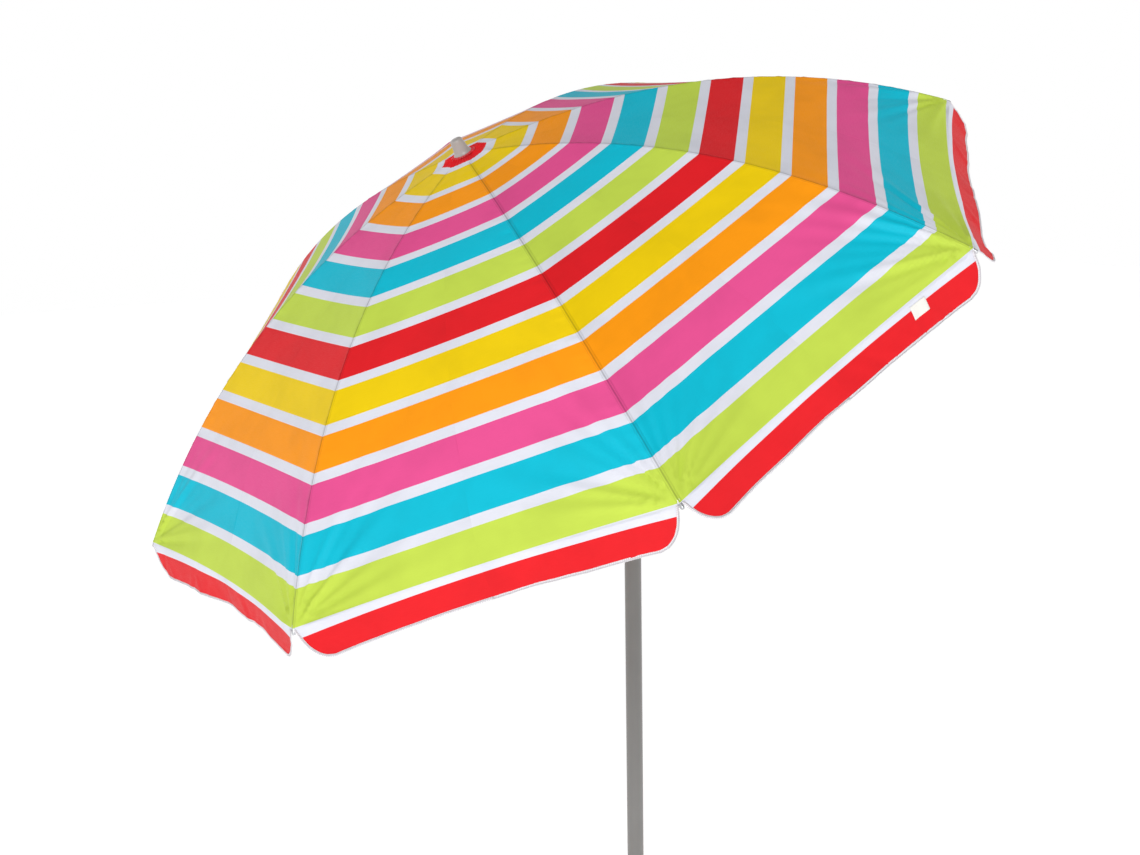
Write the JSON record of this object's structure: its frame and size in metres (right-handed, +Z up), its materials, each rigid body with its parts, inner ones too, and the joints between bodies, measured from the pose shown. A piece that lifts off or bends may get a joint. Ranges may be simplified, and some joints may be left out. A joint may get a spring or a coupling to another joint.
{
  "type": "beach umbrella",
  "caption": "Striped beach umbrella with a curved ribbed canopy and valance, a folding runner, a tilting joint and a telescoping mast with a pointed foot.",
  "frame": {"origin": "centre of the flat lower end of the mast, the point that goes into the sand or the base", "axes": "+Z up along the mast; the canopy leans towards -X about a tilt joint whose axis is +Y"},
  "size_m": [1.3587, 1.5558, 1.872],
  "materials": {
    "canopy_cloth": "striped woven polyester, satin sheen",
    "red_cloth": "woven polyester, gathered",
    "grey_tube": "satin grey paint on steel tube",
    "rib_steel": "zinc plated wire",
    "white_plastic": "moulded nylon",
    "grey_plastic": "moulded, slightly glossy",
    "dark_plastic": "moulded, fine grain"
  },
  "bodies": {
    "lower_mast": {"lower_tube": "grey_tube", "height_collar": "dark_plastic", "guide_bush": "white_plastic", "ground_spike": "dark_plastic"},
    "mast_slide": {"sliding_tube": "grey_tube", "tilt_knuckle_lower": "grey_plastic", "tilt_pin": "rib_steel"},
    "upper_pole": {"upper_tube": "grey_tube", "tilt_knuckle_upper": "grey_plastic", "crown": "white_plastic", "crown_ring": "rib_steel", "centre_patch": "red_cloth", "finial": "grey_plastic"},
    "runner": {"runner": "white_plastic"},
    "runner_latch": {"runner_latch": "dark_plastic"},
    "wing_screw": {"wing_screw": "dark_plastic"},
    "tilt_button": {"tilt_button": "dark_plastic"},
    "rib_1": {"rib_1": "rib_steel", "rib_tip_1": "rib_steel"},
    "stretcher_1": {"stretcher_1": "rib_steel"},
    "half_gore_1_right": {"half_gore_1_right": "canopy_cloth"},
    "half_gore_1_left": {"half_gore_1_left": "canopy_cloth"},
    "rib_2": {"rib_2": "rib_steel", "rib_tip_2": "rib_steel"},
    "stretcher_2": {"stretcher_2": "rib_steel"},
    "half_gore_2_right": {"half_gore_2_right": "canopy_cloth"},
    "half_gore_2_left": {"half_gore_2_left": "canopy_cloth"},
    "rib_3": {"rib_3": "rib_steel", "rib_tip_3": "rib_steel"},
    "stretcher_3": {"stretcher_3": "rib_steel"},
    "half_gore_3_right": {"half_gore_3_right": "canopy_cloth"},
    "half_gore_3_left": {"half_gore_3_left": "canopy_cloth"},
    "rib_4": {"rib_4": "rib_steel", "rib_tip_4": "rib_steel"},
    "stretcher_4": {"stretcher_4": "rib_steel"},
    "half_gore_4_right": {"half_gore_4_right": "canopy_cloth"},
    "half_gore_4_left": {"half_gore_4_left": "canopy_cloth"},
    "rib_5": {"rib_5": "rib_steel", "rib_tip_5": "rib_steel"},
    "stretcher_5": {"stretcher_5": "rib_steel"},
    "half_gore_5_right": {"half_gore_5_right": "canopy_cloth"},
    "half_gore_5_left": {"half_gore_5_left": "canopy_cloth"},
    "rib_6": {"rib_6": "rib_steel", "rib_tip_6": "rib_steel"},
    "stretcher_6": {"stretcher_6": "rib_steel"},
    "half_gore_6_right": {"half_gore_6_right": "canopy_cloth"},
    "half_gore_6_left": {"half_gore_6_left": "canopy_cloth"},
    "rib_7": {"rib_7": "rib_steel", "rib_tip_7": "rib_steel"},
    "stretcher_7": {"stretcher_7": "rib_steel"},
    "half_gore_7_right": {"half_gore_7_right": "canopy_cloth"},
    "half_gore_7_left": {"half_gore_7_left": "canopy_cloth"},
    "rib_8": {"rib_8": "rib_steel", "rib_tip_8": "rib_steel"},
    "stretcher_8": {"stretcher_8": "rib_steel"},
    "half_gore_8_right": {"half_gore_8_right": "canopy_cloth"},
    "half_gore_8_left": {"half_gore_8_left": "canopy_cloth"}
  },
  "joints": [
    {"name": "height_slide", "type": "slide", "parent": "lower_mast", "child": "mast_slide", "axis": [0, 0, 1], "range_m": [0, 0.25]},
    {"name": "canopy_tilt", "type": "hinge", "parent": "mast_slide", "child": "upper_pole", "pos_m": [0, 0, 1.15], "axis": [0, 1, 0], "range_deg": [0, 30]},
    {"name": "runner_slide", "type": "slide", "parent": "upper_pole", "child": "runner", "axis": [0.5, 0, -0.866], "range_m": [0, 0.37993], "deforming": ["half_gore_1_right", "half_gore_1_left", "half_gore_2_right", "half_gore_2_left", "half_gore_3_right", "half_gore_3_left", "half_gore_4_right", "half_gore_4_left", "half_gore_5_right", "half_gore_5_left", "half_gore_6_right", "half_gore_6_left", "half_gore_7_right", "half_gore_7_left", "half_gore_8_right", "half_gore_8_left"]},
    {"name": "latch_press", "type": "slide", "parent": "runner", "child": "runner_latch", "axis": [-0.866, 0, -0.5], "range_m": [0, 0.0025], "stiffness_N_per_m": 600},
    {"name": "wing_screw_turn", "type": "hinge", "parent": "lower_mast", "child": "wing_screw", "pos_m": [0, 0, 1.021], "axis": [1, 0, 0], "range_deg": [0, 180]},
    {"name": "tilt_button_press", "type": "slide", "parent": "mast_slide", "child": "tilt_button", "axis": [0, -1, 0], "range_m": [0, 0.003], "stiffness_N_per_m": 800},
    {"name": "rib_1_fold", "type": "hinge", "parent": "upper_pole", "child": "rib_1", "pos_m": [-0.3229, 0.00918, 1.75362], "axis": [-0.3314, 0.9239, -0.1913], "range_deg": [0, 64]},
    {"name": "stretcher_1_fold", "type": "hinge", "parent": "rib_1", "child": "stretcher_1", "pos_m": [-0.07449, 0.11603, 1.83927], "axis": [0.3314, -0.9239, 0.1913], "range_deg": [0, 111.45]},
    {"name": "half_gore_1_right_fold", "type": "hinge", "parent": "rib_1", "child": "half_gore_1_right", "pos_m": [-0.32132, 0.00477, 1.75453], "axis": [0.5328, -0.3037, 0.7899], "range_deg": [0, 24.9]},
    {"name": "half_gore_1_left_fold", "type": "hinge", "parent": "rib_1", "child": "half_gore_1_left", "pos_m": [-0.32448, 0.01359, 1.75271], "axis": [-0.1296, -0.8203, -0.5571], "range_deg": [0, 24.9]},
    {"name": "rib_2_fold", "type": "hinge", "parent": "upper_pole", "child": "rib_2", "pos_m": [-0.33415, 0.02217, 1.74713], "axis": [-0.8001, 0.3827, -0.4619], "range_deg": [0, 64]},
    {"name": "stretcher_2_fold", "type": "hinge", "parent": "rib_2", "child": "stretcher_2", "pos_m": [-0.2166, 0.28013, 1.75722], "axis": [0.8001, -0.3827, 0.4619], "range_deg": [0, 111.45]},
    {"name": "half_gore_2_right_fold", "type": "hinge", "parent": "rib_2", "child": "half_gore_2_right", "pos_m": [-0.33033, 0.02035, 1.74933], "axis": [0.5015, 0.3908, 0.7718], "range_deg": [0, 24.9]},
    {"name": "half_gore_2_left_fold", "type": "hinge", "parent": "rib_2", "child": "half_gore_2_left", "pos_m": [-0.33797, 0.024, 1.74492], "axis": [0.4718, -0.8563, -0.2099], "range_deg": [0, 24.9]},
    {"name": "rib_3_fold", "type": "hinge", "parent": "upper_pole", "child": "rib_3", "pos_m": [-0.35005, 0.02217, 1.73794], "axis": [-0.8001, -0.3827, -0.4619], "range_deg": [0, 64]},
    {"name": "stretcher_3_fold", "type": "hinge", "parent": "rib_3", "child": "stretcher_3", "pos_m": [-0.41757, 0.28013, 1.64119], "axis": [0.8001, 0.3827, 0.4619], "range_deg": [0, 111.45]},
    {"name": "half_gore_3_right_fold", "type": "hinge", "parent": "rib_3", "child": "half_gore_3_right", "pos_m": [-0.34623, 0.024, 1.74015], "axis": [0.0542, 0.8563, 0.5136], "range_deg": [0, 24.9]},
    {"name": "half_gore_3_left_fold", "type": "hinge", "parent": "rib_3", "child": "half_gore_3_left", "pos_m": [-0.35387, 0.02035, 1.73574], "axis": [0.9192, -0.3908, 0.0484], "range_deg": [0, 24.9]},
    {"name": "rib_4_fold", "type": "hinge", "parent": "upper_pole", "child": "rib_4", "pos_m": [-0.3613, 0.00918, 1.73145], "axis": [-0.3314, -0.9239, -0.1913], "range_deg": [0, 64]},
    {"name": "stretcher_4_fold", "type": "hinge", "parent": "rib_4", "child": "stretcher_4", "pos_m": [-0.55968, 0.11603, 1.55914], "axis": [0.3314, 0.9239, 0.1913], "range_deg": [0, 111.45]},
    {"name": "half_gore_4_right_fold", "type": "hinge", "parent": "rib_4", "child": "half_gore_4_right", "pos_m": [-0.35972, 0.01359, 1.73236], "axis": [-0.5473, 0.8203, 0.1663], "range_deg": [0, 24.9]},
    {"name": "half_gore_4_left_fold", "type": "hinge", "parent": "rib_4", "child": "half_gore_4_left", "pos_m": [-0.36289, 0.00477, 1.73053], "axis": [0.9505, 0.3037, 0.0665], "range_deg": [0, 24.9]},
    {"name": "rib_5_fold", "type": "hinge", "parent": "upper_pole", "child": "rib_5", "pos_m": [-0.3613, -0.00918, 1.73145], "axis": [0.3314, -0.9239, 0.1913], "range_deg": [0, 64]},
    {"name": "stretcher_5_fold", "type": "hinge", "parent": "rib_5", "child": "stretcher_5", "pos_m": [-0.55968, -0.11603, 1.55914], "axis": [-0.3314, 0.9239, -0.1913], "range_deg": [0, 111.45]},
    {"name": "half_gore_5_right_fold", "type": "hinge", "parent": "rib_5", "child": "half_gore_5_right", "pos_m": [-0.36289, -0.00477, 1.73053], "axis": [-0.9505, 0.3037, -0.0665], "range_deg": [0, 24.9]},
    {"name": "half_gore_5_left_fold", "type": "hinge", "parent": "rib_5", "child": "half_gore_5_left", "pos_m": [-0.35972, -0.01359, 1.73236], "axis": [0.5473, 0.8203, -0.1663], "range_deg": [0, 24.9]},
    {"name": "rib_6_fold", "type": "hinge", "parent": "upper_pole", "child": "rib_6", "pos_m": [-0.35005, -0.02217, 1.73794], "axis": [0.8001, -0.3827, 0.4619], "range_deg": [0, 64]},
    {"name": "stretcher_6_fold", "type": "hinge", "parent": "rib_6", "child": "stretcher_6", "pos_m": [-0.41757, -0.28013, 1.64119], "axis": [-0.8001, 0.3827, -0.4619], "range_deg": [0, 111.45]},
    {"name": "half_gore_6_right_fold", "type": "hinge", "parent": "rib_6", "child": "half_gore_6_right", "pos_m": [-0.35387, -0.02035, 1.73574], "axis": [-0.9192, -0.3908, -0.0484], "range_deg": [0, 24.9]},
    {"name": "half_gore_6_left_fold", "type": "hinge", "parent": "rib_6", "child": "half_gore_6_left", "pos_m": [-0.34623, -0.024, 1.74015], "axis": [-0.0542, 0.8563, -0.5136], "range_deg": [0, 24.9]},
    {"name": "rib_7_fold", "type": "hinge", "parent": "upper_pole", "child": "rib_7", "pos_m": [-0.33415, -0.02217, 1.74713], "axis": [0.8001, 0.3827, 0.4619], "range_deg": [0, 64]},
    {"name": "stretcher_7_fold", "type": "hinge", "parent": "rib_7", "child": "stretcher_7", "pos_m": [-0.2166, -0.28013, 1.75722], "axis": [-0.8001, -0.3827, -0.4619], "range_deg": [0, 111.45]},
    {"name": "half_gore_7_right_fold", "type": "hinge", "parent": "rib_7", "child": "half_gore_7_right", "pos_m": [-0.33797, -0.024, 1.74492], "axis": [-0.4718, -0.8563, 0.2099], "range_deg": [0, 24.9]},
    {"name": "half_gore_7_left_fold", "type": "hinge", "parent": "rib_7", "child": "half_gore_7_left", "pos_m": [-0.33033, -0.02035, 1.74933], "axis": [-0.5015, 0.3908, -0.7718], "range_deg": [0, 24.9]},
    {"name": "rib_8_fold", "type": "hinge", "parent": "upper_pole", "child": "rib_8", "pos_m": [-0.3229, -0.00918, 1.75362], "axis": [0.3314, 0.9239, 0.1913], "range_deg": [0, 64]},
    {"name": "stretcher_8_fold", "type": "hinge", "parent": "rib_8", "child": "stretcher_8", "pos_m": [-0.07449, -0.11603, 1.83927], "axis": [-0.3314, -0.9239, -0.1913], "range_deg": [0, 111.45]},
    {"name": "half_gore_8_right_fold", "type": "hinge", "parent": "rib_8", "child": "half_gore_8_right", "pos_m": [-0.32448, -0.01359, 1.75271], "axis": [0.1296, -0.8203, 0.5571], "range_deg": [0, 24.9]},
    {"name": "half_gore_8_left_fold", "type": "hinge", "parent": "rib_8", "child": "half_gore_8_left", "pos_m": [-0.32132, -0.00477, 1.75453], "axis": [-0.5328, -0.3037, -0.7899], "range_deg": [0, 24.9]}
  ],
  "couplings": [
    {"joint": "rib_1_fold", "follows": "runner_slide", "rad_per_m": 2.9171},
    {"joint": "stretcher_1_fold", "follows": "runner_slide", "rad_per_m": 5.0967},
    {"joint": "half_gore_1_right_fold", "follows": "runner_slide", "rad_per_m": 1.1211},
    {"joint": "half_gore_1_left_fold", "follows": "runner_slide", "rad_per_m": 1.1211},
    {"joint": "rib_2_fold", "follows": "runner_slide", "rad_per_m": 2.9171},
    {"joint": "stretcher_2_fold", "follows": "runner_slide", "rad_per_m": 5.0967},
    {"joint": "half_gore_2_right_fold", "follows": "runner_slide", "rad_per_m": 1.1211},
    {"joint": "half_gore_2_left_fold", "follows": "runner_slide", "rad_per_m": 1.1211},
    {"joint": "rib_3_fold", "follows": "runner_slide", "rad_per_m": 2.9171},
    {"joint": "stretcher_3_fold", "follows": "runner_slide", "rad_per_m": 5.0967},
    {"joint": "half_gore_3_right_fold", "follows": "runner_slide", "rad_per_m": 1.1211},
    {"joint": "half_gore_3_left_fold", "follows": "runner_slide", "rad_per_m": 1.1211},
    {"joint": "rib_4_fold", "follows": "runner_slide", "rad_per_m": 2.9171},
    {"joint": "stretcher_4_fold", "follows": "runner_slide", "rad_per_m": 5.0967},
    {"joint": "half_gore_4_right_fold", "follows": "runner_slide", "rad_per_m": 1.1211},
    {"joint": "half_gore_4_left_fold", "follows": "runner_slide", "rad_per_m": 1.1211},
    {"joint": "rib_5_fold", "follows": "runner_slide", "rad_per_m": 2.9171},
    {"joint": "stretcher_5_fold", "follows": "runner_slide", "rad_per_m": 5.0967},
    {"joint": "half_gore_5_right_fold", "follows": "runner_slide", "rad_per_m": 1.1211},
    {"joint": "half_gore_5_left_fold", "follows": "runner_slide", "rad_per_m": 1.1211},
    {"joint": "rib_6_fold", "follows": "runner_slide", "rad_per_m": 2.9171},
    {"joint": "stretcher_6_fold", "follows": "runner_slide", "rad_per_m": 5.0967},
    {"joint": "half_gore_6_right_fold", "follows": "runner_slide", "rad_per_m": 1.1211},
    {"joint": "half_gore_6_left_fold", "follows": "runner_slide", "rad_per_m": 1.1211},
    {"joint": "rib_7_fold", "follows": "runner_slide", "rad_per_m": 2.9171},
    {"joint": "stretcher_7_fold", "follows": "runner_slide", "rad_per_m": 5.0967},
    {"joint": "half_gore_7_right_fold", "follows": "runner_slide", "rad_per_m": 1.1211},
    {"joint": "half_gore_7_left_fold", "follows": "runner_slide", "rad_per_m": 1.1211},
    {"joint": "rib_8_fold", "follows": "runner_slide", "rad_per_m": 2.9171},
    {"joint": "stretcher_8_fold", "follows": "runner_slide", "rad_per_m": 5.0967},
    {"joint": "half_gore_8_right_fold", "follows": "runner_slide", "rad_per_m": 1.1211},
    {"joint": "half_gore_8_left_fold", "follows": "runner_slide", "rad_per_m": 1.1211}
  ]
}
